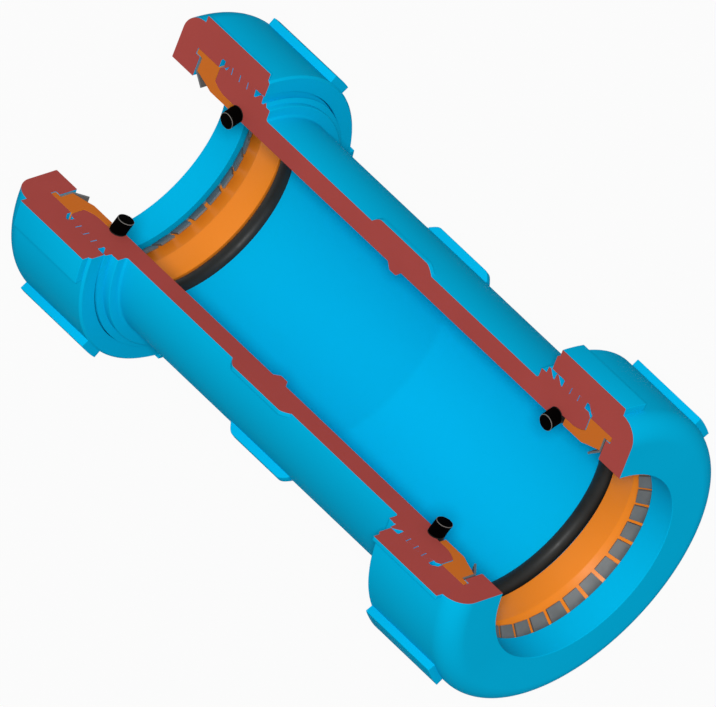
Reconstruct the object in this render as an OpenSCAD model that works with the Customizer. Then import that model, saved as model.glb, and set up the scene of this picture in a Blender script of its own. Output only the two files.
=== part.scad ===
/* [Pipe] */
// Outside diameter of the pipe that the coupling joins
pipe_d = 60.3; // [50:0.1:75]

/* [Body] */
// Length of the body between its end faces
body_length = 153.4; // [130:0.2:260]
// Radial clearance of the body's bore over the pipe
bore_clearance = 0.35; // [0.2:0.05:0.6]
// Wall of the body between its collars
body_wall = 6.4; // [5.5:0.1:9]
// Length of the thicker collar at each end of the body
collar_length = 20.3; // [19:0.1:26]
// Height of the collar above the wall, up to the foot of its thread
collar_rise = 3.4; // [2.6:0.1:5]
// Fillet where the collar's shoulder meets the wall
collar_fillet = 0.8; // [0.3:0.1:1.5]
// Chamfer round the outside of each end face
nose_chamfer = 1; // [0.4:0.1:1.4]
// Length of the flared seat inside each end
seat_length = 5; // [3:0.1:5.4]
// How far the seat flares out on its radius
seat_rise = 1.7; // [1:0.1:2]

/* [Ribs] */
// Number of ribs round the middle of a whole body
rib_count = 8; // [4:4:12]
// Length of a rib along its flat top
rib_length = 16; // [10:0.5:40]
// Height of a rib above the wall
rib_rise = 2.4; // [1.5:0.1:4]
// Width of a rib round the body
rib_w = 3; // [2:0.1:6]
// Run of the rounded slope at each end of a rib
rib_slope = 3.8; // [2:0.1:6]

/* [Pipe stop] */
// Drop of a stop nub below the bore, more than the bore's clearance
nub_drop = 1.9; // [1:0.1:2.2]
// Length of a nub along its flat tip
nub_length = 2.6; // [1.5:0.1:6]
// Run of the slope at each side of a nub
nub_slope = 1.4; // [0.5:0.1:3]
// Width of a whole nub round the bore
nub_w = 3; // [2:0.1:8]
// Height of the low ring that runs round the bore between the nubs
stop_ring_rise = 0.25; // [0.1:0.05:0.3]
// Width of that ring on its crest
stop_ring_w = 1.8; // [1:0.1:4]
// Run of the ramp on each side of that ring
stop_ring_ramp = 1.5; // [0.5:0.1:3]

/* [Thread] */
// Radial depth of the coarse thread, which is drawn as a smooth band at its mean radius
thread_depth = 2.1; // [1.2:0.1:3]
// Plain length between the collar's shoulder and its thread
thread_start = 1.5; // [1:0.1:3]
// Plain length between the thread and the body's end face
thread_land = 2.3; // [1.6:0.1:5]
// Radial play between the body's thread and the nut's
thread_clearance = 0.5; // [0.3:0.05:0.8]

/* [Nut] */
// Length of a nut
nut_length = 33.1; // [30:0.1:40]
// Wall of a nut outside its relief bore
nut_wall = 4.3; // [3:0.1:8]
// Radial clearance of the plain relief bore over the body's thread
relief_clearance = 0.8; // [0.3:0.1:1.5]
// Length of that relief bore
relief_length = 4.5; // [2:0.1:8]
// Thickness of the lip at the nut's mouth
lip_length = 8.6; // [7:0.1:14]
// Radial clearance of the mouth over the pipe
mouth_clearance = 0.55; // [0.4:0.05:1.2]
// Radius of the round corner at the mouth
mouth_corner = 6.5; // [3:0.1:6.8]
// Chamfer round the nut's inner end
nut_chamfer = 0.6; // [0.2:0.1:1]
// Chamfer at both ends of the mouth bore
mouth_chamfer = 0.3; // [0.1:0.05:0.6]

/* [Lugs] */
// Number of wrench lugs round a whole nut
lug_count = 8; // [6:1:8]
// Distance from the nut's inner end to a lug's foot
lug_inset = 0.8; // [0.6:0.1:5]
// Distance from the mouth's face back to a lug's end
lug_setback = 6.4; // [5.5:0.1:12]
// Width of a lug
lug_w = 16.2; // [8:0.1:18]
// Height of a lug's flat top above the nut
lug_rise = 2.4; // [1.5:0.1:5]
// Radius of a lug's corners, seen from outside
lug_corner = 4; // [1:0.1:5]
// Run of the slope at a lug's inner end
lug_slope = 1.4; // [0.5:0.1:3]

/* [Compression ring] */
// Radial clearance of the ring's bore over the pipe
ring_bore_clearance = 0.65; // [0.4:0.05:0.9]
// Radial thickness of the ring's shoulder
ring_section = 8.3; // [7.9:0.1:9]
// Length of the shoulder
ring_shoulder = 6.4; // [5:0.1:10]
// Length of the nose that reaches into the body
ring_nose = 7.6; // [7.2:0.1:9]
// Wall of the nose
ring_nose_wall = 2.2; // [1.6:0.1:2.6]
// Length of the tongue round the front of the ring
tongue_length = 2.2; // [1.2:0.1:3]
// Radial thickness of the tongue
tongue_t = 1.6; // [1:0.1:2.2]
// How far the ring's bore opens towards its front
taper_rise = 2.3; // [1.8:0.1:2.8]
// Length of the steeper start of that taper
knee_run = 2.1; // [1.5:0.1:3]
// How far the taper opens along that start
knee_rise = 0.85; // [0.7:0.05:1.2]

/* [Grip ring] */
// Thickness of the grip ring's sheet
grip_t = 0.6; // [0.4:0.05:1]
// Number of teeth round a whole grip ring
tooth_count = 32; // [16:8:40]
// Gap between neighbouring teeth
tooth_gap = 1.2; // [0.6:0.1:1.8]
// How far a tooth's tip bites below the pipe's surface
tooth_bite = 0.55; // [0.2:0.05:0.9]
// How far a tooth leans back from the flange
tooth_reach = 3.3; // [2:0.1:4]

/* [O-ring] */
// Thickness of the O-ring's cord
cord_d = 4.9; // [4:0.1:5.4]
// How far the O-ring reaches below the pipe's surface
cord_squeeze = 1.2; // [0.6:0.1:1.5]
// Length of O-ring that stands out past each cut face
cord_stub = 4.1; // [1:0.1:12]

/* [Cutaway] */
// Angle of the sector that is cut away to show the inside
cut_angle = 90; // [60:5:120]

/* [Fit] */
// Radial clearance of the compression ring in the body and the nut
ring_clearance = 0.12; // [0.05:0.01:0.2]
// Axial clearance between faces that turn or slide on each other
face_clearance = 0.25; // [0.1:0.05:0.4]
// Clearance round the O-ring in its groove
groove_clearance = 0.05; // [0.02:0.01:0.15]

/* [Hidden] */
$fn = 120;
curve_steps = 8;
blue = [0.0, 0.66, 0.87];
orange = [0.9, 0.5, 0.14];
steel = [0.42, 0.43, 0.43];
black = [0.1, 0.1, 0.1];

// Radii, from the pipe outwards
pipe_r = pipe_d / 2;
bore_r = pipe_r + bore_clearance;
body_r = bore_r + body_wall;
rib_r = body_r + rib_rise;
nub_r = bore_r - nub_drop;
stop_ring_r = bore_r - stop_ring_rise;
collar_r = body_r + collar_rise;
crest_r = collar_r + thread_depth;
body_thread_r = collar_r + thread_depth / 2;
nut_thread_r = body_thread_r + thread_clearance;
relief_r = crest_r + relief_clearance;
nut_r = relief_r + nut_wall;
lug_r = nut_r + lug_rise;
mouth_r = pipe_r + mouth_clearance;
ring_bore_r = pipe_r + ring_bore_clearance;
nose_r = ring_bore_r + ring_nose_wall;
socket_r = nose_r + ring_clearance;
ring_r = ring_bore_r + ring_section;
nut_bore_r = ring_r + ring_clearance;
tongue_r = ring_r - tongue_t;
taper_r = ring_bore_r + taper_rise;
fold_r = taper_r - grip_t / 2;
flange_r = tongue_r - ring_clearance;
pocket_r = flange_r - ring_clearance;
tip_r = pipe_r - tooth_bite;
seal_r = pipe_r - cord_squeeze + cord_d / 2;
groove_r = cord_d / 2 + groove_clearance;

// Places along the axis, from the middle of the body towards the right end
body_end = body_length / 2;
collar_x = body_end - collar_length;
thread_x = collar_x + thread_start;
thread_end = body_end - thread_land;
seat_x = body_end - seat_length;
ring_back = body_end + face_clearance;
ring_front = ring_back + ring_shoulder;
nose_end = ring_back - ring_nose;
seal_x = nose_end - face_clearance - cord_d / 2 - groove_clearance;
flange_front = ring_front + grip_t;
tongue_end = ring_front + tongue_length;
lip_x = flange_front + face_clearance;
pocket_end = tongue_end + face_clearance;
nut_step = ring_back + face_clearance;
mouth_x = lip_x + lip_length;
nut_x = mouth_x - nut_length;
relief_end = nut_x + relief_length;
lug_x = nut_x + lug_inset;
lug_end = mouth_x - lug_setback;

// The coupling lies on two lugs, so its axis is one lug radius above the ground
axis_z = lug_r;
// Middle of the sector that is cut away, and the wedge that takes it out of every piece
cut_middle = 90;
wedge_r = 3 * lug_r;
wedge_length = 4 * mouth_x;
tooth_angle = 360 / tooth_count;
stub_angle = cord_stub / seal_r * 180 / PI;

// Points along an arc about a centre
function arc(centre, r, from, to) =
    [for (i = [0:curve_steps]) let (a = from + (to - from) * i / curve_steps) centre + r * [cos(a), sin(a)]];

// The flared seat, as points of radius and place, drawn in by a gap
function flare(gap) =
    [for (i = [0:curve_steps]) let (t = i / curve_steps)
        [socket_r + seat_rise * pow(t, 2) - gap, seat_x + seat_length * t]];

// A profile and its mirror image, joined at the middle
function both_halves(half) = concat(half, [for (i = [len(half) - 1:-1:0]) [half[i][0], -half[i][1]]]);

// Turns the working frame, whose axis is Z, to lie along X above the ground
module place() {
    translate([0, 0, axis_z]) rotate([90, 0, 90]) children();
}

module left_end() {
    mirror([0, 0, 1]) children();
}

// The sector that is cut away, centred on the top
module wedge(angle) {
    half = angle / 2;
    linear_extrude(wedge_length, center = true)
        polygon(concat([[0, 0]],
            [for (a = [-half, 0, half]) wedge_r * [cos(cut_middle + a), sin(cut_middle + a)]]));
}

module cut_open(angle = cut_angle) {
    difference() {
        children();
        wedge(angle);
    }
}

// Copies of a shape, one every step, starting at angle 0
module around(count) {
    for (i = [0:count - 1]) rotate([0, 0, i * 360 / count]) children();
}

// A profile of radius and place, given a width round the axis
module plate(width) {
    rotate([90, 0, 0]) linear_extrude(width, center = true) children();
}

module body_profile() {
    groove_from = -acos((bore_r - seal_r) / groove_r);
    groove_to = acos((socket_r - seal_r) / groove_r);
    polygon(both_halves(concat(
        [[stop_ring_r, 0], [stop_ring_r, stop_ring_w / 2], [bore_r, stop_ring_w / 2 + stop_ring_ramp]],
        arc([seal_r, seal_x], groove_r, groove_from, groove_to),
        flare(0),
        [[collar_r - nose_chamfer, body_end], [collar_r, body_end - nose_chamfer], [collar_r, thread_end],
            [body_thread_r, thread_end - thread_depth / 2], [body_thread_r, thread_x + thread_depth / 2],
            [collar_r, thread_x], [collar_r, collar_x]],
        arc([body_r + collar_fillet, collar_x - collar_fillet], collar_fillet, 90, 180),
        [[body_r, 0]])));
}

// One rib: a low fin whose ends slope down in a round
module rib() {
    half = rib_length / 2;
    plate(rib_w) polygon(both_halves(concat(
        [[body_r - body_wall / 2, 0], [body_r - body_wall / 2, half + rib_slope]],
        [for (i = [curve_steps:-1:0]) let (t = i / curve_steps)
            [rib_r - rib_rise * pow(t, 2), half + rib_slope * t]],
        [[rib_r, 0]])));
}

// One stop nub on the bore
module nub() {
    plate(nub_w) polygon(both_halves([
        [bore_r + body_wall / 2, 0], [bore_r + body_wall / 2, nub_length / 2 + nub_slope],
        [bore_r, nub_length / 2 + nub_slope], [nub_r, nub_length / 2], [nub_r, 0]]));
}

module coupling_body() {
    color(blue) place() cut_open() {
        rotate_extrude() body_profile();
        around(rib_count) rib();
        for (side = [-1, 1]) rotate([0, 0, cut_middle + side * cut_angle / 2]) nub();
    }
}

module nut_profile() {
    polygon(concat(
        [[mouth_r + mouth_chamfer, mouth_x]],
        arc([nut_r - mouth_corner, mouth_x - mouth_corner], mouth_corner, 90, 0),
        [[nut_r, nut_x + nut_chamfer], [nut_r - nut_chamfer, nut_x], [relief_r, nut_x], [relief_r, relief_end],
            [nut_thread_r, relief_end + thread_depth / 2], [nut_thread_r, nut_step], [nut_bore_r, nut_step],
            [nut_bore_r, pocket_end], [pocket_r, pocket_end], [pocket_r, lip_x],
            [mouth_r + mouth_chamfer, lip_x], [mouth_r, lip_x + mouth_chamfer],
            [mouth_r, mouth_x - mouth_chamfer]]));
}

// Outline of a lug seen from outside, with round corners
module lug_outline() {
    half = lug_w / 2 - lug_corner;
    polygon(concat(
        arc([lug_end - lug_corner, half], lug_corner, 0, 90),
        arc([lug_x + lug_corner, half], lug_corner, 90, 180),
        arc([lug_x + lug_corner, -half], lug_corner, 180, 270),
        arc([lug_end - lug_corner, -half], lug_corner, 270, 360)));
}

// One lug: a flat-topped pad whose inner end slopes
module lug() {
    foot_r = relief_r + nut_wall / 2;
    intersection() {
        plate(lug_w) polygon([[foot_r, lug_x], [nut_r, lug_x], [lug_r, lug_x + lug_slope],
            [lug_r, lug_end], [foot_r, lug_end]]);
        rotate([0, -90, 0]) translate([0, 0, -2 * lug_r]) linear_extrude(2 * lug_r) lug_outline();
    }
}

module nut() {
    color(blue) cut_open() {
        rotate_extrude() nut_profile();
        around(lug_count) lug();
    }
}

module left_nut() {
    place() left_end() nut();
}

module right_nut() {
    place() nut();
}

module compression_ring() {
    taper_knee = [ring_bore_r + knee_rise, ring_back + knee_run];
    color(orange) cut_open() rotate_extrude() polygon(concat(
        [[ring_bore_r, nose_end], [nose_r, nose_end]],
        flare(ring_clearance),
        [[socket_r + seat_rise - ring_clearance, ring_back], [ring_r, ring_back], [ring_r, tongue_end],
            [tongue_r, tongue_end], [tongue_r, ring_front], [taper_r, ring_front], taper_knee,
            [ring_bore_r, ring_back]]));
}

module left_compression_ring() {
    place() left_end() compression_ring();
}

module right_compression_ring() {
    place() compression_ring();
}

// One tooth: a flat strip of the sheet that leans in and back from the flange
module tooth() {
    root_half = fold_r * tan(tooth_angle / 2) - tooth_gap / 2;
    tip_half = tip_r * tan(tooth_angle / 2) - tooth_gap / 2;
    tooth_rise = fold_r - tip_r;
    sheet_run = grip_t * norm([tooth_rise, tooth_reach]) / tooth_rise;
    root_r = fold_r + grip_t / 2;
    intersection() {
        plate(2 * root_half) polygon([
            [root_r, ring_front], [root_r, flange_front], [fold_r, flange_front],
            [tip_r, flange_front - tooth_reach], [tip_r, flange_front - tooth_reach - sheet_run],
            [fold_r, flange_front - sheet_run]]);
        linear_extrude(wedge_length, center = true) polygon([
            [tip_r, tip_half], [fold_r, root_half], [flange_r, root_half],
            [flange_r, -root_half], [fold_r, -root_half], [tip_r, -tip_half]]);
    }
}

module grip_ring() {
    color(steel) cut_open() {
        rotate_extrude() polygon([[fold_r, ring_front], [flange_r, ring_front],
            [flange_r, flange_front], [fold_r, flange_front]]);
        around(tooth_count) tooth();
    }
}

module left_grip_ring() {
    place() left_end() grip_ring();
}

module right_grip_ring() {
    place() grip_ring();
}

module o_ring() {
    color(black) cut_open(cut_angle - 2 * stub_angle)
        rotate_extrude() translate([seal_r, seal_x]) circle(d = cord_d);
}

module left_o_ring() {
    place() left_end() o_ring();
}

module right_o_ring() {
    place() o_ring();
}

coupling_body();
left_nut();
right_nut();
left_compression_ring();
right_compression_ring();
left_grip_ring();
right_grip_ring();
left_o_ring();
right_o_ring();
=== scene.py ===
"""A sectioned compression coupling for pipe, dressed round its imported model, with its studio."""

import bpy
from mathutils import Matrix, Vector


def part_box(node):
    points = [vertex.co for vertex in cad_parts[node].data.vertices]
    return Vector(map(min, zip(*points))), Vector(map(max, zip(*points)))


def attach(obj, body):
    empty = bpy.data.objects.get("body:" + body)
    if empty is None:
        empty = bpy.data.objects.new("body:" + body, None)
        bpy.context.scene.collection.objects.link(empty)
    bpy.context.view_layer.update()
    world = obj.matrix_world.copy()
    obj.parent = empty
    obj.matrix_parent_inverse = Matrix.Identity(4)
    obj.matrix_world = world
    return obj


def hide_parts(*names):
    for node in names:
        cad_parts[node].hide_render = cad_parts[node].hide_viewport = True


bl_info = {
    "name": "Compression Coupling",
    "version": (1, 0, 0),
    "blender": (4, 5, 0),
    "location": "View3D > Sidebar > Coupling",
    "description": "Makes a pipe coupling cut open by a quarter, with its nuts, rings, seals and studio",
    "category": "Add Mesh",
}

import math
from contextlib import contextmanager

import bmesh
import bpy
from bpy.props import FloatProperty, FloatVectorProperty, IntProperty, PointerProperty
from mathutils import Matrix, Vector

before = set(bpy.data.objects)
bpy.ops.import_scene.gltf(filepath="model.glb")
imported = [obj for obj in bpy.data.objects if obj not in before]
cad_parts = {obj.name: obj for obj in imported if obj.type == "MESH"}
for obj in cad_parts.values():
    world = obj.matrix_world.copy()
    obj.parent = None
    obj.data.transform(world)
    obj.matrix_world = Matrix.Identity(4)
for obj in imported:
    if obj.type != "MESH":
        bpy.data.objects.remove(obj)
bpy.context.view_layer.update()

MM = 0.001
WHITE = (1, 1, 1, 1)

# Points of a made shape, and points of its copies, that lie closer than this are one point
MERGE_DISTANCE = 0.002 * MM
WELD_DISTANCE = 0.001 * MM

# The pipe axis lies one lug radius above the ground
AXIS_HEIGHT = (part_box("right_nut")[1].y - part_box("right_nut")[0].y) / 2

# The quarter that is cut away, and the material that is left, in degrees from +Y towards +Z
CUT_FROM = 45.0
CUT_TO = 135.0
LEFT_FROM = CUT_TO
LEFT_TO = CUT_FROM + 360

# Ribs and lugs stand at both cut faces and this many degrees apart between them
SPACING = 45.0
PLACES = round((LEFT_TO - LEFT_FROM) / SPACING) + 1

# Sides of the coupling: each end of the body and its nut, rings and seal
RIGHT = 1
LEFT = -1
SIDES = ((RIGHT, "right"), (LEFT, "left"))


def length(name, description, millimetres):
    """A size that the user can set, in metres."""
    return FloatProperty(name=name, description=description, default=millimetres * MM, unit="LENGTH",
                         subtype="DISTANCE", precision=5)


def angle(name, description, degrees):
    """An angle that the user can set."""
    return FloatProperty(name=name, description=description, default=math.radians(degrees),
                         unit="ROTATION", subtype="ANGLE")


def colour(name, description, value):
    """A colour that the user can set."""
    return FloatVectorProperty(name=name, description=description, default=value, subtype="COLOR",
                               size=3, min=0, max=1)


class BodySizes(bpy.types.PropertyGroup):
    """Sizes of the moulded body, from the middle outwards."""
    bore: length("Bore", "Radius of the bore", 30.5)
    wall: length("Outside", "Radius of the body between its collars", 36.9)
    collar: length("Collar", "Radius at the foot of the collar's thread", 40.3)
    collar_place: length("Shoulder", "Place of the collar's shoulder", 56.4)
    collar_fillet: length("Shoulder fillet", "Fillet at the foot of the shoulder", 0.8)
    end: length("End", "Place of the body's end face", 76.7)
    end_chamfer: length("End chamfer", "Chamfer round the end face", 1.0)
    socket: length("Socket", "Radius of the bore past the seal", 33.12)
    seat_length: length("Seat length", "Length of the flared seat", 5.0)
    seat_rise: length("Seat rise", "How far the seat flares out", 1.7)
    groove: length("Groove", "Radius of the seal's round groove", 2.5)
    stop_ring: length("Stop ring", "Radius of the low ring round the bore's middle", 30.25)
    stop_ring_half: length("Stop ring half width", "Half the width of that ring's crest", 0.9)
    stop_ring_ramp: length("Stop ring ramp", "Run of that ring's ramps", 1.5)
    rib_top: length("Rib top", "Radius of a rib's flat top", 39.3)
    rib_half: length("Rib half length", "Half the length of a rib's flat top", 9.2)
    rib_slope: length("Rib slope", "Run of the slope at each end of a rib", 3.2)
    rib_width: length("Rib width", "Width of a rib", 3.0)
    nub_tip: length("Nub tip", "Radius that a stop nub reaches in to", 28.6)
    nub_half: length("Nub half length", "Half the length of a nub's tip", 1.3)
    nub_slope: length("Nub slope", "Run of the slope at each side of a nub", 1.4)
    nub_width: length("Nub width", "Width of a whole nub", 3.0)


class ThreadSizes(bpy.types.PropertyGroup):
    """Sizes of the coarse buttress thread on the body and in the nuts."""
    pitch: length("Pitch", "Distance between turns", 3.175)
    crest: length("Crest", "Radius of the body's thread crest", 42.4)
    root: length("Root", "Radius of the nut's thread root", 42.41)
    inner_crest: length("Inner crest", "Radius of the nut's thread crest", 40.31)
    start: length("Start", "Place where the body's thread starts", 57.9)
    finish: length("Finish", "Place where the body's thread ends", 74.4)
    gap: length("Gap", "Axial gap at the steep flanks", 0.26)
    steep: length("Steep run", "Run of the steep flank", 0.2)
    flat: length("Crest flat", "Flat on the body's crest", 0.75)
    slope: length("Slope run", "Run of the sloping flank", 1.7)
    slack: length("Slack", "Axial gap at the sloping flanks", 0.005)
    run_out: FloatProperty(name="Run-out", description="Steepness of a thread's first and last turn",
                           default=4.0)
    right_place: length("Right place", "Place of a steep gap at the right end's first cut face", 67.8)
    left_place: length("Left place", "Place of a steep gap at the left end's first cut face", 66.2)


class NutSizes(bpy.types.PropertyGroup):
    """Sizes of a screw nut, as places from the coupling's middle and radii from its axis."""
    inner_end: length("Inner end", "Place of the nut's inner end", 59.7)
    mouth_face: length("Mouth face", "Place of the nut's outer face", 92.8)
    outside: length("Outside", "Radius of the nut between its lugs", 47.65)
    end_chamfer: length("End chamfer", "Chamfer round the inner end", 0.6)
    mouth_corner: length("Mouth corner", "Radius of the round corner at the mouth", 6.5)
    mouth: length("Mouth", "Radius of the mouth", 30.7)
    mouth_chamfer: length("Mouth chamfer", "Chamfer at both ends of the mouth", 0.12)
    relief: length("Relief", "Radius of the plain bore at the inner end", 42.6)
    relief_end: length("Relief end", "Least place of that bore's end, at a whole tooth", 62.0)
    step: length("Step", "Place of the step down to the ring's bore", 77.2)
    ring_bore: length("Ring bore", "Radius of the bore round the compression ring", 39.22)
    pocket_end: length("Pocket end", "Place of the pocket's floor round the ring's tongue", 85.8)
    pocket: length("Pocket", "Inner radius of that pocket", 37.26)
    lip: length("Lip", "Place of the lip's inner face", 84.2)
    lug_start: length("Lug start", "Place of a lug's foot at the inner end", 60.5)
    lug_end: length("Lug end", "Place of a lug's outer end", 86.4)
    lug_top: length("Lug top", "Radius of a lug's round top", 49.9)
    lug_half: angle("Lug half width", "Half the angle that a lug takes up round the nut", 5.5)
    lug_edge: length("Lug edge", "Rounding along a lug's top edges", 0.15)
    right_turn: angle("Right turn", "How far the right nut's lugs are turned from the cut faces", -4.0)
    left_turn: angle("Left turn", "How far the left nut's lugs are turned from the cut faces", 4.7)


class RingSizes(bpy.types.PropertyGroup):
    """Sizes of the compression rings, grip rings and O-rings."""
    bore: length("Ring bore", "Radius of the compression ring's bore", 30.8)
    nose: length("Nose", "Radius of its nose", 33.0)
    nose_end: length("Nose end", "Place of the nose's end", 69.35)
    shoulder: length("Shoulder", "Radius of its shoulder", 39.1)
    back: length("Back", "Place of the shoulder's back face", 76.95)
    front: length("Front", "Place of the ring's front face", 83.35)
    tongue_end: length("Tongue end", "Place of the tongue's end", 85.55)
    tongue: length("Tongue", "Inner radius of the tongue", 37.5)
    taper: length("Taper", "Radius of the taper at the front face", 33.1)
    knee_place: length("Knee place", "Place of the knee in the taper", 79.05)
    knee: length("Knee", "Radius of that knee", 31.65)
    edge: length("Edges", "Rounding of the compression ring's corners", 0.2)
    sheet: length("Sheet", "Thickness of the grip ring's sheet", 0.6)
    flange: length("Flange", "Outer radius of the grip ring's flange", 37.38)
    fold: length("Fold", "Radius of the fold between flange and teeth", 32.93)
    tip: length("Tooth tip", "Radius of the teeth's tips", 29.6)
    tip_place: length("Tip place", "Place of the teeth's tips, at the middle of the sheet", 80.22)
    tooth_gap: length("Tooth gap", "Gap between teeth", 1.2)
    teeth: IntProperty(name="Teeth", description="Teeth round a whole grip ring", default=32)
    seal: length("O-ring", "Radius of the O-ring, to the middle of its cord", 31.5)
    seal_place: length("O-ring place", "Place of the O-ring", 66.2)
    cord: length("Cord", "Radius of the O-ring's cord", 2.45)
    stub: angle("Stub", "How far the O-ring stands out past each cut face", 8.4)
    cut_edge: length("Cut edge", "Rounding of the O-ring's cut ends", 0.16)
    stub_lean: angle("Stub lean", "How far the O-rings' stubs lean towards the right mouth", 12.0)


class FinishColours(bpy.types.PropertyGroup):
    """Colours of the pieces, as they render in plain light."""
    plastic: colour("Moulded plastic", "Blue of the body and nuts", (0.0005, 0.437, 0.735))
    section: colour("Section paint", "Red of the cut faces", (0.375, 0.062, 0.053))
    # Painted shade: the cut faces are the same orange plastic as the ring, given this darker orange
    ring: colour("Ring plastic", "Orange of the compression rings", (0.84, 0.235, 0.016))
    ring_cut: colour("Cut ring plastic", "Darker orange of their cut faces", (0.58, 0.15, 0.02))
    steel: colour("Spring sheet", "Grey of the grip rings", (0.14, 0.145, 0.145))
    rubber: colour("Rubber", "Charcoal of the O-rings", (0.015, 0.016, 0.015))
    cut_rubber: colour("Cut rubber", "Black of the O-rings' stubs", (0.0006, 0.0005, 0.0005))
    # Painted highlight: the rounded edge round each O-ring's cut end is given this lighter grey
    rim: colour("Rim", "Grey of the scuffed rim round each cut end", (0.16, 0.15, 0.14))


class StudioSettings(bpy.types.PropertyGroup):
    """The camera and the light."""
    frame_width: length("Frame width", "Width of the view at the coupling", 191.16)
    lens: FloatProperty(name="Lens", description="Long lens, in place of a view without perspective",
                        default=1600, unit="CAMERA")
    aim_right: length("Aim right", "How far the aim lies to the right of the axis centre", -0.579)
    aim_up: length("Aim up", "How far the aim lies above the axis centre", 0.152)
    fill: FloatProperty(name="Fill", description="Even light from all round", default=0.31)
    lamp: FloatProperty(name="Lamp", description="Light of the soft lamp on a face that looks at it",
                        default=0.9)
    lamp_spread: angle("Lamp spread", "Angle that the soft lamp takes up in the sky", 8)
    floor: FloatProperty(name="Floor", description="How much light the floor sends back", default=0.3)


def chosen(group):
    """The values that the user has chosen, in one of the groups above."""
    return getattr(bpy.context.scene, "coupling_" + group)


# Points and sections

def spot(x, radius, degrees, height=AXIS_HEIGHT):
    """A point at a place along the axis, a radius and an angle from +Y towards +Z."""
    turn = math.radians(degrees)
    return Vector((x, radius * math.cos(turn), height + radius * math.sin(turn)))


def arc(x, radius, size, start, finish, steps):
    """Points of an arc in a section, about a centre at x and radius, angles from +X towards outwards."""
    points = []
    for step in range(steps + 1):
        turn = math.radians(start + (finish - start) * step / steps)
        points.append((x + size * math.cos(turn), radius + size * math.sin(turn)))
    return points


def curve_point(start, corner, finish, t):
    """A point of the curve that sets out from start towards a corner and ends at finish."""
    return tuple(start * (1 - t) ** 2 + corner * 2 * t * (1 - t) + finish * t ** 2)


def softened(corners, size, steps=3):
    """A closed section with each corner rounded, as far as its edges are long enough."""
    longest_share = 0.4
    straight = math.radians(160)
    points = []
    count = len(corners)
    for index, corner in enumerate(corners):
        here = Vector(corner)
        before = Vector(corners[index - 1]) - here
        after = Vector(corners[(index + 1) % count]) - here
        if before.angle(after) > straight:
            points.append(tuple(here))
            continue
        reach = min(size, before.length * longest_share, after.length * longest_share)
        start = here + before.normalized() * reach
        finish = here + after.normalized() * reach
        points += [curve_point(start, here, finish, step / steps) for step in range(steps + 1)]
    return points


def mirrored(half):
    """A closed line along the axis from the half that starts at the middle."""
    return half + [(-x, radius) for x, radius in reversed(half[1:])]


def steps_between(start, finish, step):
    """Angles from start to finish, both included, at about the given step."""
    count = max(1, round((finish - start) / step))
    return [start + (finish - start) * index / count for index in range(count + 1)]


# Degrees between the sections of a swept piece
SWEEP_STEP = 1.5

# Angles of the pieces that are cut open later: so far past both cut faces that none lies on one
SPARE = 9.5 * SWEEP_STEP
SWEEP = steps_between(LEFT_FROM - SPARE, LEFT_TO + SPARE, SWEEP_STEP)


# Meshes

@contextmanager
def opened(mesh):
    """A mesh opened for work on its points, edges and faces, and written back after it."""
    work = bmesh.new()
    work.from_mesh(mesh)
    yield work
    work.to_mesh(mesh)
    work.free()


def round_edges(work, edges, size):
    """Rounds edges of an opened mesh and gives the faces that this makes."""
    made = bmesh.ops.bevel(work, geom=edges, offset=size, segments=3, profile=0.5, affect="EDGES")
    return made["faces"]


def object_from(name, points, faces):
    """A new object from points and faces, with doubles merged and its faces pointing outwards."""
    mesh = bpy.data.meshes.new(name)
    mesh.from_pydata([tuple(p) for p in points], [], faces)
    with opened(mesh) as work:
        bmesh.ops.remove_doubles(work, verts=work.verts, dist=MERGE_DISTANCE)
        bmesh.ops.recalc_face_normals(work, faces=work.faces)
    if not mesh.polygons:
        raise RuntimeError(name + " has no faces")
    made = bpy.data.objects.new(name, mesh)
    bpy.context.scene.collection.objects.link(made)
    return made


def swept(name, section_at, angles, height=AXIS_HEIGHT):
    """A closed solid whose section, points of place and radius for each angle, goes round the axis."""
    points = []
    for turn in angles:
        points += [spot(x, radius, turn, height) for x, radius in section_at(turn)]
    count = len(points) // len(angles)
    faces = [tuple(range(count)), tuple(range(len(points) - 1, len(points) - 1 - count, -1))]
    for column in range(len(angles) - 1):
        for index in range(count):
            following = (index + 1) % count
            low = column * count
            high = low + count
            faces.append((low + following, low + index, high + index, high + following))
    return object_from(name, points, faces)


def prism(name, outline, low, high):
    """A closed prism from an outline of (a, b) points and two functions that place its ends."""
    count = len(outline)
    points = [low(a, b) for a, b in outline] + [high(a, b) for a, b in outline]
    faces = [tuple(range(count)), tuple(range(2 * count - 1, count - 1, -1))]
    for index in range(count):
        following = (index + 1) % count
        faces.append((index, following, count + following, count + index))
    return object_from(name, points, faces)


def settle(piece):
    """Turns an object's modifiers into plain mesh."""
    graph = bpy.context.evaluated_depsgraph_get()
    graph.update()
    mesh = bpy.data.meshes.new_from_object(piece.evaluated_get(graph), depsgraph=graph)
    piece.modifiers.clear()
    old = piece.data
    piece.data = mesh
    mesh.name = piece.name
    bpy.data.meshes.remove(old)
    if not mesh.polygons:
        raise RuntimeError(piece.name + " came out empty")
    return piece


def combine(piece, other, operation):
    """Joins another closed mesh to a piece, or cuts it out, keeping the other's finish on its faces."""
    step = piece.modifiers.new("combine", "BOOLEAN")
    step.operation = operation
    step.solver = "EXACT"
    step.material_mode = "TRANSFER"
    step.object = other
    settle(piece)
    old = other.data
    bpy.data.objects.remove(other)
    bpy.data.meshes.remove(old)
    return piece


def cut_open(piece, paint):
    """Cuts the missing quarter out of a piece and paints the faces that the cut leaves."""
    reach = 0.2
    outline = [(0.0, 0.0)]
    for turn in (CUT_FROM, (CUT_FROM + CUT_TO) / 2, CUT_TO):
        far = math.radians(turn)
        outline.append((reach * math.cos(far), reach * math.sin(far)))
    wedge = prism("wedge", outline, lambda a, b: (-reach, a, AXIS_HEIGHT + b),
                  lambda a, b: (reach, a, AXIS_HEIGHT + b))
    wedge.data.materials.append(paint)
    return combine(piece, wedge, "DIFFERENCE")


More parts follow.
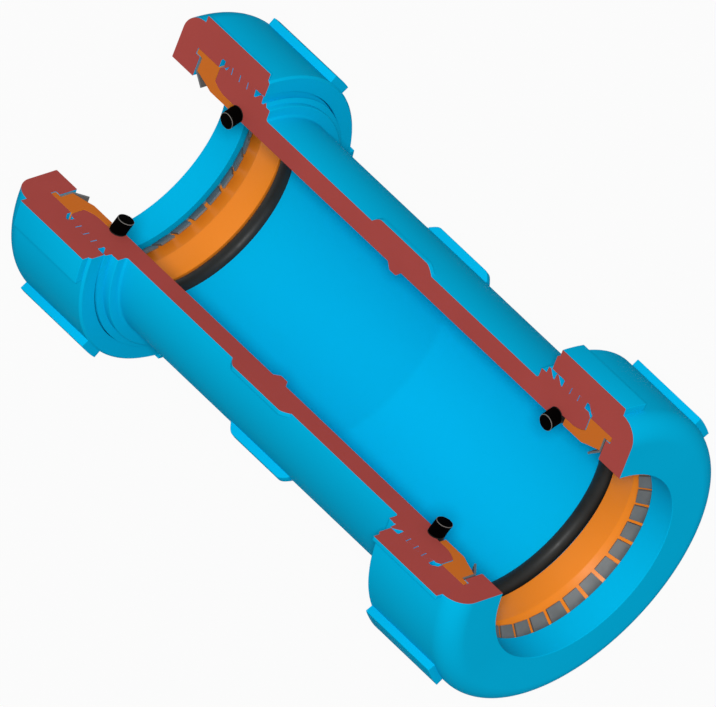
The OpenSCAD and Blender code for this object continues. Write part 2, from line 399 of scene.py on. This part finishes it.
def smooth(piece, degrees=32):
    """Shades a piece smooth, apart from its sharp edges."""
    piece.data.shade_smooth()
    piece.data.set_sharp_from_angle(angle=math.radians(degrees))
    return piece


# Geometry nodes

def new_tree(name, sockets):
    """A tree with a geometry input and output and named inputs, each with its kind and default."""
    tree = bpy.data.node_groups.new(name, "GeometryNodeTree")
    face = tree.interface
    face.new_socket("Geometry", in_out="OUTPUT", socket_type="NodeSocketGeometry")
    face.new_socket("Geometry", in_out="INPUT", socket_type="NodeSocketGeometry")
    for label, kind, default in sockets:
        socket = face.new_socket(label, in_out="INPUT", socket_type="NodeSocket" + kind)
        if default is not None:
            socket.default_value = default
    return tree


def add_node(tree, kind, values):
    """A new node with the given values on its inputs."""
    made = tree.nodes.new(kind)
    for socket, value in values.items():
        made.inputs[socket].default_value = value
    return made


def link(tree, links):
    """Links outputs of nodes to inputs of other nodes."""
    for source, output, target, socket in links:
        tree.links.new(source.outputs[output], target.inputs[socket])


def copies_round_axis():
    """A tree that repeats a shape round the axis, welds the copies that touch and gives them a finish."""
    name = "copies round the axis"
    if name in bpy.data.node_groups:
        return bpy.data.node_groups[name]
    tree = new_tree(name, (
        ("Count", "Int", PLACES),
        ("First angle", "Float", math.radians(LEFT_FROM)),
        ("Step", "Float", math.radians(SPACING)),
        ("Axis height", "Float", AXIS_HEIGHT),
        ("Material", "Material", None),
    ))
    make = tree.nodes.new
    given = make("NodeGroupInput")
    result = make("NodeGroupOutput")
    index = make("GeometryNodeInputIndex")
    turn = make("ShaderNodeMath")
    turn.operation = "MULTIPLY_ADD"
    rotation = make("ShaderNodeCombineXYZ")
    centre = make("ShaderNodeCombineXYZ")
    points = make("GeometryNodePoints")
    place = make("GeometryNodeInstanceOnPoints")
    realize = make("GeometryNodeRealizeInstances")
    weld = add_node(tree, "GeometryNodeMergeByDistance", {"Distance": WELD_DISTANCE})
    coat = make("GeometryNodeSetMaterial")
    link(tree, (
        (index, "Index", turn, 0), (given, "Step", turn, 1), (given, "First angle", turn, 2),
        (turn, 0, rotation, "X"), (given, "Axis height", centre, "Z"),
        (given, "Count", points, "Count"), (centre, 0, points, "Position"),
        (points, 0, place, "Points"), (given, "Geometry", place, "Instance"),
        (rotation, 0, place, "Rotation"), (place, 0, realize, 0), (realize, 0, weld, "Geometry"),
        (weld, 0, coat, "Geometry"), (given, "Material", coat, "Material"), (coat, 0, result, 0)))
    return tree


def cord_round_axis():
    """A tree that bends a round cord round the axis."""
    name = "cord round the axis"
    if name in bpy.data.node_groups:
        return bpy.data.node_groups[name]
    tree = new_tree(name, (
        ("Ring radius", "Float", 0.03),
        ("Cord radius", "Float", 0.0025),
        ("Start", "Float", 0.0),
        ("Sweep", "Float", 5.0),
        ("Place", "Vector", None),
        ("Material", "Material", None),
    ))
    across_axis = (math.radians(90), 0, math.radians(90))
    make = tree.nodes.new
    given = make("NodeGroupInput")
    result = make("NodeGroupOutput")
    path = add_node(tree, "GeometryNodeCurveArc", {"Resolution": 220})
    profile = add_node(tree, "GeometryNodeCurvePrimitiveCircle", {"Resolution": 48})
    cord = add_node(tree, "GeometryNodeCurveToMesh", {"Fill Caps": True})
    stand = add_node(tree, "GeometryNodeTransform", {"Rotation": across_axis})
    realize = make("GeometryNodeRealizeInstances")
    coat = make("GeometryNodeSetMaterial")
    link(tree, (
        (given, "Ring radius", path, "Radius"), (given, "Start", path, "Start Angle"),
        (given, "Sweep", path, "Sweep Angle"), (given, "Cord radius", profile, "Radius"),
        (path, 0, cord, "Curve"), (profile, 0, cord, "Profile Curve"),
        (cord, 0, stand, "Geometry"), (given, "Place", stand, "Translation"),
        (stand, 0, realize, 0), (realize, 0, coat, "Geometry"),
        (given, "Material", coat, "Material"), (coat, 0, result, 0)))
    return tree


def grown(piece, tree, values):
    """Runs a tree on an object with the named inputs, and leaves its result as plain mesh."""
    step = piece.modifiers.new("nodes", "NODES")
    step.node_group = tree
    for item in tree.interface.items_tree:
        if item.in_out == "INPUT" and item.name in values:
            step[item.identifier] = values[item.name]
    return settle(piece)


def round_axis(piece, count, first, step, material):
    """Repeats a shape that was made at angle 0 round the axis."""
    return grown(piece, copies_round_axis(), {
        "Count": count, "First angle": math.radians(first), "Step": math.radians(step),
        "Axis height": AXIS_HEIGHT, "Material": material})


# Finishes

# Most of a noise texture's values lie between these
NOISE_LOW = 0.3
NOISE_HIGH = 0.7


def finish_nodes(name):
    """A new material with its node tree, its shader and its object coordinates."""
    material = bpy.data.materials.new(name)
    material.use_nodes = True
    tree = material.node_tree
    shader = tree.nodes["Principled BSDF"]
    place = tree.nodes.new("ShaderNodeTexCoord")
    return material, tree, shader, place.outputs["Object"]


def noise(tree, place, scale, detail=2.0, stretch=None):
    """Noise on the object's coordinates, drawn out along an axis whose share in stretch is below 1."""
    if stretch:
        mapping = add_node(tree, "ShaderNodeMapping", {"Scale": stretch})
        tree.links.new(place, mapping.inputs["Vector"])
        place = mapping.outputs["Vector"]
    made = add_node(tree, "ShaderNodeTexNoise", {"Scale": scale, "Detail": detail})
    tree.links.new(place, made.inputs["Vector"])
    return made.outputs["Fac"]


def tinted(tree, shader, factor, base, low, high):
    """Varies a colour between two shares of itself."""
    ramp = tree.nodes.new("ShaderNodeValToRGB")
    for index, position, share in ((0, NOISE_LOW, low), (1, NOISE_HIGH, high)):
        element = ramp.color_ramp.elements[index]
        element.position = position
        element.color = (*[min(1, part * share) for part in base], 1)
    tree.links.new(factor, ramp.inputs["Fac"])
    tree.links.new(ramp.outputs["Color"], shader.inputs["Base Color"])


def ranged(tree, shader, socket, factor, low, high):
    """Spreads a factor over a range of values and feeds one of the shader's sockets with it."""
    spread = add_node(tree, "ShaderNodeMapRange", {
        "From Min": NOISE_LOW, "From Max": NOISE_HIGH, "To Min": low, "To Max": high})
    tree.links.new(factor, spread.inputs["Value"])
    tree.links.new(spread.outputs["Result"], shader.inputs[socket])


def bumped(tree, shader, height, strength, distance):
    """Gives the surface a fine relief."""
    bump = add_node(tree, "ShaderNodeBump", {"Strength": strength, "Distance": distance})
    tree.links.new(height, bump.inputs["Height"])
    tree.links.new(bump.outputs["Normal"], shader.inputs["Normal"])


def moulded_plastic(name, base, roughness, shine):
    """Satin moulded plastic: flow marks in its colour, a fine grain and an uneven sheen."""
    material, tree, shader, place = finish_nodes(name)
    flow = noise(tree, place, scale=26, detail=3.0, stretch=(0.35, 1, 1))
    tinted(tree, shader, flow, base, low=0.975, high=1.02)
    sheen = noise(tree, place, scale=90)
    ranged(tree, shader, "Roughness", sheen, roughness - 0.05, roughness + 0.05)
    grain = noise(tree, place, scale=2600)
    bumped(tree, shader, grain, strength=0.12, distance=0.02 * MM)
    shader.inputs["Specular IOR Level"].default_value = shine
    return material


def section_paint(name, base):
    """Flat paint rolled on the cut faces."""
    material, tree, shader, place = finish_nodes(name)
    cover = noise(tree, place, scale=60, detail=3.0)
    tinted(tree, shader, cover, base, low=0.97, high=1.03)
    sheen = noise(tree, place, scale=240)
    ranged(tree, shader, "Roughness", sheen, low=0.7, high=0.85)
    stipple = noise(tree, place, scale=1500, detail=3.0)
    bumped(tree, shader, stipple, strength=0.15, distance=0.02 * MM)
    shader.inputs["Specular IOR Level"].default_value = 0.1
    return material


def spring_sheet(name, base):
    """Rolled spring steel: fine rolling lines, a dull mill finish and darker spots."""
    material, tree, shader, place = finish_nodes(name)
    spots = noise(tree, place, scale=140, detail=4.0)
    tinted(tree, shader, spots, base, low=0.82, high=1.12)
    mill = noise(tree, place, scale=500, stretch=(0.1, 1, 1))
    ranged(tree, shader, "Roughness", mill, low=0.42, high=0.6)
    rolling_lines = noise(tree, place, scale=1800, stretch=(1, 0.08, 1))
    bumped(tree, shader, rolling_lines, strength=0.3, distance=0.02 * MM)
    shader.inputs["Metallic"].default_value = 0.35
    return material


def moulded_rubber(name, base, roughness, shine):
    """Moulded rubber: a soft bloom in its colour and a fine skin."""
    material, tree, shader, place = finish_nodes(name)
    bloom = noise(tree, place, scale=120, detail=3.0)
    tinted(tree, shader, bloom, base, low=0.8, high=1.15)
    sheen = noise(tree, place, scale=400)
    ranged(tree, shader, "Roughness", sheen, roughness - 0.06, roughness + 0.06)
    skin = noise(tree, place, scale=1800, detail=3.0)
    bumped(tree, shader, skin, strength=0.25, distance=0.03 * MM)
    shader.inputs["Specular IOR Level"].default_value = shine
    return material


# Each finish by its name: how it is made, which colour it takes, and for some its roughness and shine
FINISHES = {
    "body plastic": (moulded_plastic, "plastic", 0.6, 0.003),
    "nut plastic": (moulded_plastic, "plastic", 0.6, 0.003),
    "section paint": (section_paint, "section"),
    "ring plastic": (moulded_plastic, "ring", 0.38, 0.25),
    # Painted shade: the compression rings' cut faces, in a darker copy of the ring's orange
    "cut ring plastic": (moulded_plastic, "ring_cut", 0.6, 0.02),
    "spring sheet": (spring_sheet, "steel"),
    "rubber": (moulded_rubber, "rubber", 0.5, 0.2),
    "cut rubber": (moulded_rubber, "cut_rubber", 0.7, 0.01),
    # A painted highlight, put on the rounded edge of each O-ring's cut end
    "scuffed rim": (moulded_rubber, "rim", 0.7, 0.01),
}


def finish(name):
    """One of the finishes, made when it is first asked for."""
    if name not in bpy.data.materials:
        maker, shade, *values = FINISHES[name]
        maker(name, tuple(getattr(chosen("colours"), shade)), *values)
    return bpy.data.materials[name]


def hand_over(piece, body, node):
    """Fixes a finished piece to its CAD body and hides the CAD node that it stands in for."""
    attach(piece, body)
    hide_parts(node)


# The thread

# Turns drawn on each side of a gap, more than either thread has
TURNS = 7


def steep_gap(side, turn):
    """Place of the gap between the steep flanks of the body's and the nut's thread, at an angle."""
    sizes = chosen("thread")
    share = (turn - CUT_FROM) / 360
    if side == RIGHT:
        return sizes.right_place + sizes.pitch * share
    return sizes.left_place - sizes.pitch * share


def thread_shapes():
    """One tooth of the body's thread and one of the nut's, as points of place past the gap and radius."""
    sizes = chosen("thread")
    foot = chosen("body").collar
    depth = sizes.crest - foot
    face = sizes.gap / 2 - sizes.steep / 2
    crest_end = face + sizes.steep + sizes.flat
    outer = [(face, foot), (face + sizes.steep, sizes.crest), (crest_end, sizes.crest),
             (crest_end + sizes.slope, foot)]

    def steep_at(radius):
        return face + sizes.steep * (radius - foot) / depth - sizes.gap

    def slope_at(radius):
        return crest_end + sizes.slope * (sizes.crest - radius) / depth + sizes.slack

    inner = [(steep_at(sizes.inner_crest), sizes.inner_crest), (steep_at(sizes.root), sizes.root),
             (slope_at(sizes.root), sizes.root), (slope_at(sizes.inner_crest), sizes.inner_crest)]
    return outer, inner


def thread_radius(x, gap, shape, pitch):
    """Radius of a thread at a place along the axis."""
    first = shape[0][0]
    along = (x - gap - first) % pitch + first
    corners = shape + [(first + pitch, shape[0][1])]
    for (x0, r0), (x1, r1) in zip(corners, corners[1:]):
        if along <= x1:
            return r0 + (r1 - r0) * (along - x0) / (x1 - x0)
    return corners[-1][1]


def thread_points(gap, shape, pitch, start, end, fixed, limit):
    """Points along a thread between two places, always as many, with its height held by a limit."""
    places = list(fixed)
    for turn in range(-TURNS, TURNS):
        places += [min(max(gap + turn * pitch + x, start), end) for x, _ in shape]
    return [(x, limit(x, thread_radius(x, gap, shape, pitch))) for x in sorted(places)]


# The body

# How far the root of a rib or a nub reaches into the body's wall
ROOT_DEPTH = 2 * MM


def seat_curve(radius, steps):
    """Points of the flared seat, or of the ring that sits in it, outwards from its foot at a radius."""
    body = chosen("body")
    points = []
    for step in range(steps + 1):
        t = step / steps
        points.append((body.end - body.seat_length * (1 - t), radius + body.seat_rise * t ** 2))
    return points


def body_half(side, turn):
    """One half of the body's section: its outer line from the middle, and its inner line back to it."""
    body = chosen("body")
    thread = chosen("thread")
    rings = chosen("rings")
    outer_tooth = thread_shapes()[0]

    def limit(x, radius):
        rise = thread.run_out * min(x - thread.start, thread.finish - x)
        return min(radius, body.collar + rise)

    ramp = (thread.crest - body.collar) / thread.run_out
    shoulder = body.collar_place
    fillet = body.collar_fillet
    lead = 0.3 * MM
    outer = [(0.0, body.wall)]
    outer += arc(shoulder - fillet, body.wall + fillet, fillet, -90, 0, steps=5)
    outer += arc(shoulder + lead, body.collar - lead, lead, 180, 90, steps=3)
    outer += thread_points(steep_gap(side, turn), outer_tooth, thread.pitch, thread.start, thread.finish,
                           (thread.start + ramp, thread.finish - ramp), limit)
    outer += [(body.end - body.end_chamfer, body.collar), (body.end, body.collar - body.end_chamfer)]
    inner = seat_curve(body.socket, steps=12)[::-1]
    out = math.degrees(math.acos((body.socket - rings.seal) / body.groove))
    back = math.degrees(math.acos((body.bore - rings.seal) / body.groove))
    inner += arc(rings.seal_place, rings.seal, body.groove, 90 - out, 90 + back, steps=20)
    inner += [(body.stop_ring_half + body.stop_ring_ramp, body.bore), (body.stop_ring_half, body.stop_ring)]
    return outer, inner


def body_section(turn):
    """The body's whole section at an angle."""
    outer, inner = body_half(RIGHT, turn)
    left_outer, left_inner = body_half(LEFT, turn)
    section = outer + inner
    section += [(-x, radius) for x, radius in reversed(left_inner)]
    section += [(-x, radius) for x, radius in reversed(left_outer[1:])]
    return section


def plate(name, outline, width):
    """A flat plate along the axis at angle 0, from an outline of places and radii."""
    return prism(name, outline, lambda x, radius: (x, radius, -width / 2),
                 lambda x, radius: (x, radius, width / 2))


def rib_shape():
    """One rib at angle 0: a low fin with round shoulders and a slightly hollow foot."""
    body = chosen("body")
    foot = body.wall - ROOT_DEPTH
    rise = body.rib_top - body.wall
    hollow = 0.6
    half = [(0.0, foot), (body.rib_half + body.rib_slope, foot)]
    steps = 10
    for step in range(steps, -1, -1):
        t = step / steps
        drop = t ** 2 * (1 + hollow - hollow * t)
        half.append((body.rib_half + body.rib_slope * t, body.rib_top - rise * drop))
    made = plate("ribs", mirrored(half), body.rib_width)
    above = body.wall + 0.2 * MM
    with opened(made.data) as work:
        edges = []
        for line in work.edges:
            level = abs(line.verts[0].co.z - line.verts[1].co.z) < body.rib_width / 100
            if level and min(v.co.y for v in line.verts) > above:
                edges.append(line)
        round_edges(work, edges, size=0.3 * MM)
    return made


def nub_shape():
    """One stop nub at angle 0, with its tip towards the axis."""
    body = chosen("body")
    root = body.bore + ROOT_DEPTH
    half = [(0.0, root), (body.nub_half + body.nub_slope, root),
            (body.nub_half + body.nub_slope, body.bore), (body.nub_half, body.nub_tip)]
    return plate("nubs", softened(mirrored(half)[1:], size=0.4 * MM), body.nub_width)


class COUPLING_OT_body(bpy.types.Operator):
    """Make the moulded body with its collars, threads, ribs and pipe stop"""
    bl_idname = "coupling.body"
    bl_label = "Body"

    def execute(self, context):
        plastic = finish("body plastic")
        body = swept("moulded_body", body_section, SWEEP)
        body.data.materials.append(plastic)
        ribs = round_axis(rib_shape(), PLACES, LEFT_FROM, SPACING, plastic)
        combine(body, ribs, "UNION")
        nubs = round_axis(nub_shape(), count=2, first=LEFT_FROM, step=LEFT_TO - LEFT_FROM, material=plastic)
        combine(body, nubs, "UNION")
        cut_open(body, finish("section paint"))
        smooth(body)
        hand_over(body, "coupling_body", "coupling_body")
        return {"FINISHED"}


# The nuts

def nut_section(side, turn):
    """A nut's section at an angle, with its thread."""
    nut = chosen("nut")
    thread = chosen("thread")
    inner_tooth = thread_shapes()[1]
    gap = steep_gap(side, turn)
    root = gap + inner_tooth[1][0]
    start = root + thread.pitch * math.ceil((nut.relief_end - root) / thread.pitch)

    def limit(x, radius):
        return max(radius, nut.relief - thread.run_out * (x - start))

    fixed = [start + (nut.relief - radius) / thread.run_out for radius in (thread.root, thread.inner_crest)]
    edge = nut.mouth_chamfer
    section = [(nut.mouth_face, nut.mouth + edge)]
    section += arc(nut.mouth_face - nut.mouth_corner, nut.outside - nut.mouth_corner, nut.mouth_corner,
                   0, 90, steps=16)
    section += [(nut.inner_end + nut.end_chamfer, nut.outside),
                (nut.inner_end, nut.outside - nut.end_chamfer),
                (nut.inner_end, nut.relief + edge), (nut.inner_end + edge, nut.relief)]
    section += thread_points(gap, inner_tooth, thread.pitch, start, nut.step, fixed, limit)
    section += [(nut.step, nut.ring_bore), (nut.pocket_end, nut.ring_bore), (nut.pocket_end, nut.pocket),
                (nut.lip, nut.pocket), (nut.lip, nut.mouth + edge), (nut.lip + edge, nut.mouth),
                (nut.mouth_face - edge, nut.mouth)]
    return [(side * x, radius) for x, radius in section]


def lug_shape(side):
    """One wrench lug at angle 0: a pad with a round top, walls that point at the axis and soft edges."""
    nut = chosen("nut")
    foot = (nut.relief + nut.outside) / 2
    section = [(side * nut.lug_start, foot), (side * nut.lug_start, nut.lug_top),
               (side * nut.lug_end, nut.lug_top), (side * nut.lug_end, foot)]
    half = math.degrees(nut.lug_half)
    made = swept("lugs", lambda turn: section, steps_between(-half, half, step=1), height=0.0)
    outside = nut.outside - 0.01 * MM
    sharp = math.radians(20)
    with opened(made.data) as work:
        edges = []
        for line in work.edges:
            raised = [math.hypot(v.co.y, v.co.z) > outside for v in line.verts]
            upright = any(raised) and abs(line.verts[0].co.x - line.verts[1].co.x) < MM
            if line.calc_face_angle() > sharp and (all(raised) or upright):
                edges.append(line)
        round_edges(work, edges, nut.lug_edge)
        bmesh.ops.recalc_face_normals(work, faces=work.faces)
    return made


class COUPLING_OT_nuts(bpy.types.Operator):
    """Make both screw nuts with their threads, lips and wrench lugs"""
    bl_idname = "coupling.nuts"
    bl_label = "Nuts"

    def execute(self, context):
        plastic = finish("nut plastic")
        sizes = chosen("nut")
        for side, word in SIDES:
            nut = swept(word + "_screw_nut", lambda turn: nut_section(side, turn), SWEEP)
            nut.data.materials.append(plastic)
            turned = sizes.right_turn if side == RIGHT else sizes.left_turn
            first = LEFT_FROM + math.degrees(turned)
            combine(nut, round_axis(lug_shape(side), PLACES, first, SPACING, plastic), "UNION")
            cut_open(nut, finish("section paint"))
            smooth(nut)
            hand_over(nut, word + "_nut", word + "_nut")
        return {"FINISHED"}


# The rings inside

class COUPLING_OT_compression_rings(bpy.types.Operator):
    """Make both orange compression rings, each turned with its nose, shoulder, taper and tongue"""
    bl_idname = "coupling.compression_rings"
    bl_label = "Compression rings"

    def execute(self, context):
        ring = chosen("rings")
        body = chosen("body")
        corners = [(ring.nose_end, ring.bore), (ring.nose_end, ring.nose)]
        corners += seat_curve(ring.nose, steps=10)
        corners += [(ring.back, ring.nose + body.seat_rise), (ring.back, ring.shoulder),
                    (ring.tongue_end, ring.shoulder), (ring.tongue_end, ring.tongue),
                    (ring.front, ring.tongue), (ring.front, ring.taper), (ring.knee_place, ring.knee),
                    (ring.back, ring.bore)]
        section = softened(corners, ring.edge)
        for side, word in SIDES:
            turned = [(side * x, radius) for x, radius in section]
            piece = swept(word + "_compression_ring_detail", lambda turn: turned,
                          steps_between(LEFT_FROM, LEFT_TO, SWEEP_STEP))
            piece.data.materials.append(finish("ring plastic"))
            piece.data.materials.append(finish("cut ring plastic"))
            # Only the two cut faces have more than four corners; they take the darker orange of painted
            # shade
            for face in piece.data.polygons:
                face.material_index = 1 if len(face.vertices) > 4 else 0
            smooth(piece, degrees=24)
            hand_over(piece, word + "_ring_set", word + "_compression_ring")
        return {"FINISHED"}


def grip_sector(side):
    """The sheet from one tooth's middle to the next one's, at angle 0, with no thickness yet."""
    ring = chosen("rings")
    sector = 360 / ring.teeth
    half = math.radians(sector / 2)
    turn = math.radians(sector)
    flange_place = ring.front + ring.sheet / 2
    lean = Vector((ring.tip_place - flange_place, ring.tip - ring.fold))
    bend = 0.3 * MM
    fold = Vector((flange_place, ring.fold))
    bend_start = Vector((flange_place, ring.fold + bend))
    bend_end = fold + lean.normalized() * bend
    rows = [(flange_place, ring.flange), (flange_place, (ring.flange + ring.fold) / 2),
            (flange_place, ring.fold + bend)]
    rows += [curve_point(bend_start, fold, bend_end, t) for t in (0.35, 0.65)]
    rows += [tuple(bend_end), tuple(fold + lean * 0.5), (ring.tip_place, ring.tip)]
    # The teeth part from this row inwards, and the rows before it are bent round the axis
    slot_row = 2
    columns = 4
    points = []
    for number, (x, radius) in enumerate(rows):
        widest = radius * math.tan(half) - ring.tooth_gap / 2
        for tooth in (0, 1):
            for column in range(columns + 1):
                share = column / columns if tooth == 0 else 1 - column / columns
                across = widest * share
                lift = 0.0
                if number < slot_row:
                    lift = (math.hypot(radius, across) - radius) * (1 - number / slot_row)
                y, z = radius - lift, across
                if tooth == 1:
                    z = -z
                    y, z = y * math.cos(turn) - z * math.sin(turn), y * math.sin(turn) + z * math.cos(turn)
                points.append((side * x, y, z))
    wide = 2 * (columns + 1)
    faces = []
    for number in range(len(rows) - 1):
        for column in range(wide - 1):
            if column == columns and number >= slot_row:
                continue
            low = number * wide + column
            faces.append((low, low + 1, low + wide + 1, low + wide))
    return object_from("grip sector", points, faces)


class COUPLING_OT_grip_rings(bpy.types.Operator):
    """Make both grip rings of folded spring sheet, with their teeth"""
    bl_idname = "coupling.grip_rings"
    bl_label = "Grip rings"

    def execute(self, context):
        ring = chosen("rings")
        sector = 360 / ring.teeth
        count = round((LEFT_TO - LEFT_FROM) / sector)
        steel = finish("spring sheet")
        # A little thin, so that its faces stay off those that it touches
        thin = 0.97
        for side, word in SIDES:
            piece = round_axis(grip_sector(side), count, LEFT_FROM, sector, steel)
            piece.name = word + "_grip_ring_detail"
            sheet = piece.modifiers.new("sheet", "SOLIDIFY")
            sheet.thickness = ring.sheet * thin
            sheet.offset = 0
            sheet.use_even_offset = True
            settle(piece)
            smooth(piece, degrees=30)
            hand_over(piece, word + "_ring_set", word + "_grip_ring")
        return {"FINISHED"}


class COUPLING_OT_o_rings(bpy.types.Operator):
    """Make both rubber O-rings, whose ends stand out past the cut faces"""
    bl_idname = "coupling.o_rings"
    bl_label = "O-rings"

    def execute(self, context):
        ring = chosen("rings")
        for side, word in SIDES:
            holder = bpy.data.meshes.new("seal")
            piece = bpy.data.objects.new(word + "_o_ring_detail", holder)
            context.scene.collection.objects.link(piece)
            start = math.radians(LEFT_FROM) - ring.stub
            grown(piece, cord_round_axis(), {
                "Ring radius": ring.seal, "Cord radius": ring.cord, "Start": start,
                "Sweep": math.radians(LEFT_TO - LEFT_FROM) + 2 * ring.stub,
                "Place": (side * ring.seal_place, 0.0, AXIS_HEIGHT), "Material": finish("rubber")})
            lean_stubs(piece, math.tan(ring.stub_lean))
            round_cut_ends(piece, ring.cut_edge)
            smooth(piece, degrees=40)
            hand_over(piece, "coupling_body", word + "_o_ring")
        return {"FINISHED"}


def lean_stubs(piece, slope):
    """Leans an O-ring's stubs along the pipe axis, further the further they stand out."""
    for vert in piece.data.vertices:
        out, up = vert.co.y, vert.co.z - AXIS_HEIGHT
        turn = math.degrees(math.atan2(up, out))
        past = min(turn - CUT_FROM, CUT_TO - turn)
        if past > 0:
            vert.co.x += slope * math.radians(past) * math.hypot(out, up)


def round_cut_ends(piece, size):
    """Rounds the edges of the cord's flat ends, gives the stubs the finish of cut rubber and gives the
    rounded edges a lighter grey, a painted highlight.
    """
    with opened(piece.data) as work:
        bmesh.ops.remove_doubles(work, verts=work.verts, dist=WELD_DISTANCE)
        # Only the two flat ends have more than four corners
        edges = [edge for edge in work.edges if any(len(face.verts) > 4 for face in edge.link_faces)]
        painted_highlight_rims = round_edges(work, edges, size)
        bmesh.ops.recalc_face_normals(work, faces=work.faces)
        for face in work.faces:
            centre = face.calc_center_median()
            turn = math.degrees(math.atan2(centre.z - AXIS_HEIGHT, centre.y)) % 360
            face.material_index = 1 if CUT_FROM < turn < CUT_TO else 0
        # The rounded edges take the lighter grey: a painted highlight along each cut end
        for face in painted_highlight_rims:
            face.material_index = 2
    piece.data.materials.append(finish("cut rubber"))
    piece.data.materials.append(finish("scuffed rim"))


# The studio

# The photograph's view in the coupling's frame: the view's right, its up, and back towards the camera
VIEW_RIGHT = Vector((0.6416, 0.7110, -0.2879))
VIEW_UP = Vector((-0.6077, 0.7002, 0.3747))
VIEW_BACK = Vector((0.4680, -0.0655, 0.8813))


def white_where_seen(tree, lit, white, output, share=1.0):
    """Shows white to the camera and to reflections, in a share, and the lit shader to all else."""
    rays = tree.nodes.new("ShaderNodeLightPath")
    seen = rays.outputs["Is Camera Ray"]
    for kind in ("Is Glossy Ray", "Is Transmission Ray"):
        either = tree.nodes.new("ShaderNodeMath")
        either.operation = "MAXIMUM"
        tree.links.new(seen, either.inputs[0])
        tree.links.new(rays.outputs[kind], either.inputs[1])
        seen = either.outputs[0]
    part = tree.nodes.new("ShaderNodeMath")
    part.operation = "MULTIPLY"
    part.inputs[1].default_value = share
    tree.links.new(seen, part.inputs[0])
    mix = tree.nodes.new("ShaderNodeMixShader")
    link(tree, ((part, 0, mix, 0), (lit, 0, mix, 1), (white, 0, mix, 2)))
    tree.links.new(mix.outputs[0], output)


class COUPLING_OT_studio(bpy.types.Operator):
    """Make the camera at the photograph's angle, the floor and the soft light"""
    bl_idname = "coupling.studio"
    bl_label = "Studio"

    def execute(self, context):
        scene = context.scene
        settings = chosen("studio")
        scene.view_settings.view_transform = "Standard"
        add_camera(scene, settings)
        add_floor(scene, settings)
        add_light(scene, settings)
        return {"FINISHED"}


def add_camera(scene, settings):
    """A long lens at the photograph's angle, with hardly any perspective."""
    data = bpy.data.cameras.new("camera")
    data.lens = settings.lens
    data.sensor_width = 36
    data.clip_start = 0.1
    data.clip_end = 60
    camera = bpy.data.objects.new("camera", data)
    scene.collection.objects.link(camera)
    aim = Vector((0, 0, AXIS_HEIGHT)) + VIEW_RIGHT * settings.aim_right + VIEW_UP * settings.aim_up
    away = settings.frame_width * data.lens / data.sensor_width
    turned = [[VIEW_RIGHT[row], VIEW_UP[row], VIEW_BACK[row]] for row in range(3)]
    turn = Matrix(turned).to_quaternion()
    camera.rotation_mode = "QUATERNION"
    camera.rotation_quaternion = turn
    camera.location = aim + turn @ Vector((0, 0, away))
    scene.camera = camera


def add_floor(scene, settings):
    """A wide floor, white where it is seen, which keeps a faint shadow of the coupling."""
    reach = 30
    white_share = 0.95
    turns = [math.radians(degrees) for degrees in range(0, 360, 6)]
    outline = [(reach * math.cos(turn), reach * math.sin(turn), 0.0) for turn in turns]
    mesh = bpy.data.meshes.new("floor")
    mesh.from_pydata(outline, [], [tuple(range(len(outline)))])
    floor = bpy.data.objects.new("floor", mesh)
    scene.collection.objects.link(floor)
    material = bpy.data.materials.new("studio floor")
    material.use_nodes = True
    tree = material.node_tree
    shader = tree.nodes["Principled BSDF"]
    shader.inputs["Base Color"].default_value = (settings.floor, settings.floor, settings.floor, 1)
    shader.inputs["Roughness"].default_value = 0.9
    shader.inputs["Specular IOR Level"].default_value = 0.0
    white = add_node(tree, "ShaderNodeEmission", {"Color": WHITE, "Strength": 1})
    white_where_seen(tree, shader, white, tree.nodes["Material Output"].inputs["Surface"], white_share)
    mesh.materials.append(material)


def add_light(scene, settings):
    """Even light from all round and one soft lamp from the camera's side."""
    world = bpy.data.worlds.new("studio")
    scene.world = world
    world.use_nodes = True
    tree = world.node_tree
    fill = tree.nodes["Background"]
    fill.inputs["Color"].default_value = WHITE
    fill.inputs["Strength"].default_value = settings.fill
    white = add_node(tree, "ShaderNodeBackground", {"Color": WHITE, "Strength": 1})
    white_where_seen(tree, fill, white, tree.nodes["World Output"].inputs["Surface"])
    lamp = bpy.data.lights.new("soft lamp", "SUN")
    lamp.energy = math.pi * settings.lamp
    lamp.angle = settings.lamp_spread
    holder = bpy.data.objects.new("soft lamp", lamp)
    scene.collection.objects.link(holder)
    holder.rotation_mode = "QUATERNION"
    holder.rotation_quaternion = VIEW_BACK.to_track_quat("Z", "Y")


# The panel

SETTINGS = (
    ("coupling_body", BodySizes),
    ("coupling_thread", ThreadSizes),
    ("coupling_nut", NutSizes),
    ("coupling_rings", RingSizes),
    ("coupling_colours", FinishColours),
    ("coupling_studio", StudioSettings),
)
OPERATORS = (
    COUPLING_OT_studio,
    COUPLING_OT_body,
    COUPLING_OT_nuts,
    COUPLING_OT_compression_rings,
    COUPLING_OT_grip_rings,
    COUPLING_OT_o_rings,
)


class VIEW3D_PT_coupling(bpy.types.Panel):
    """Lists the makers of the coupling's pieces and their sizes"""
    bl_idname = "VIEW3D_PT_coupling"
    bl_label = "Compression coupling"
    bl_space_type = "VIEW_3D"
    bl_region_type = "UI"
    bl_category = "Coupling"

    def draw(self, context):
        for operator in OPERATORS:
            self.layout.operator(operator.bl_idname)
        for name, group in SETTINGS:
            box = self.layout.box()
            values = getattr(context.scene, name)
            for field in group.__annotations__:
                box.prop(values, field)


CLASSES = tuple(group for name, group in SETTINGS) + OPERATORS + (VIEW3D_PT_coupling,)


def register():
    for item in CLASSES:
        bpy.utils.register_class(item)
    for name, group in SETTINGS:
        setattr(bpy.types.Scene, name, PointerProperty(type=group))


def unregister():
    for name, group in SETTINGS:
        delattr(bpy.types.Scene, name)
    for item in reversed(CLASSES):
        bpy.utils.unregister_class(item)


def main():
    register()
    bpy.ops.coupling.studio()
    bpy.ops.coupling.body()
    bpy.ops.coupling.nuts()
    bpy.ops.coupling.compression_rings()
    bpy.ops.coupling.grip_rings()
    bpy.ops.coupling.o_rings()


if __name__ == "__main__":
    main()
